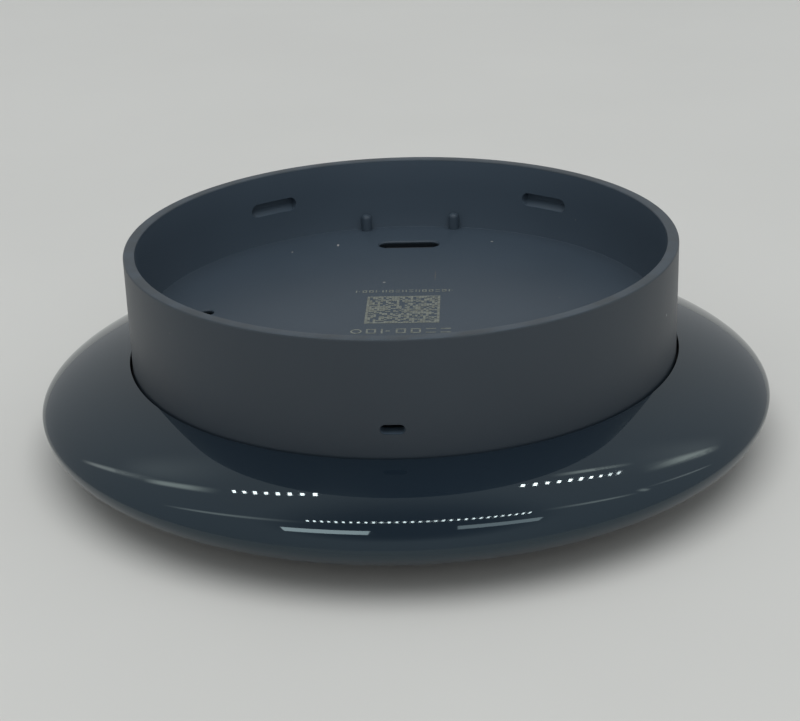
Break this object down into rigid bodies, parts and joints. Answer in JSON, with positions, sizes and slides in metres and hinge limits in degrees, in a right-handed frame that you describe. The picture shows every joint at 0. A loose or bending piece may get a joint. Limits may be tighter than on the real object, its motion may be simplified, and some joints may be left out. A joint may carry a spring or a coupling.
{
  "type": "smart home hub",
  "caption": "Round wall controller of a smart home hub, with an open rear cup, a polished turning ring and a face that presses in",
  "frame": {"origin": "on the table, at the middle of the face, which lies down; the ring's axis is x = 0, y = 0", "axes": "+Z is the ring's axis, out of the open rear cup and away from the face; +Y points to the port slot at twelve o'clock; -Y to the vent slot at six o'clock; +X completes a right-handed set"},
  "size_m": [0.097, 0.097, 0.0278],
  "materials": {
    "cup_plastic": "fine matte grain, slate grey",
    "light_metal": "cast, plain",
    "circuit_board": "green solder mask",
    "sheet_steel": "stamped sheet",
    "chip_plastic": "moulded black",
    "battery_foil": "dull foil",
    "screw_steel": "dark plated",
    "felt": "thin felt",
    "connector_plastic": "moulded ivory",
    "soft_rubber": "soft moulded",
    "flex_film": "amber film",
    "dark_glass": "polished, dark tint",
    "display_stack": "unlit display",
    "frame_plastic": "moulded black",
    "glide_plastic": "slippery moulded",
    "polished_ring": "mirror polish, dark tint"
  },
  "bodies": {
    "rear": {"rear_cup": "cup_plastic", "chassis": "light_metal", "main_board": "circuit_board", "shield_can": "sheet_steel", "radio_module": "sheet_steel", "power_chip": "chip_plastic", "port_shell": "sheet_steel", "port_tongue": "chip_plastic", "battery": "battery_foil", "rear_screws": "screw_steel", "vent_membrane": "felt", "climate_sensor": "chip_plastic", "sounder": "chip_plastic", "gap_felt": "felt", "flex_socket": "connector_plastic", "switch_plunger": "connector_plastic", "return_pads": "soft_rubber", "flex_cable": "flex_film"},
    "face": {"front_lens": "dark_glass", "lens_adhesive": "soft_rubber", "mask_ring": "chip_plastic", "display_panel": "display_stack", "display_backplate": "sheet_steel", "face_frame": "frame_plastic", "front_board": "circuit_board", "touch_chip": "chip_plastic", "flex_plug": "connector_plastic", "dome_switch": "sheet_steel", "presence_sensor": "chip_plastic", "light_sensor": "chip_plastic", "glide_bearing": "glide_plastic", "ring_retainer": "sheet_steel", "retainer_screws": "screw_steel", "ring_reader": "chip_plastic"},
    "ring": {"control_ring": "polished_ring", "ring_core": "frame_plastic", "code_strip": "glide_plastic"}
  },
  "joints": [
    {"name": "face_press", "type": "slide", "parent": "rear", "child": "face", "axis": [0, 0, 1], "range_m": [0, 0.0005], "stiffness_N_per_m": 4000, "springref_m": -0.002, "deforming": ["return_pads", "flex_cable"]},
    {"name": "ring_turn", "type": "hinge", "parent": "face", "child": "ring", "pos_m": [0, 0, 0.0073], "axis": [0, 0, 1], "continuous": true}
  ]
}
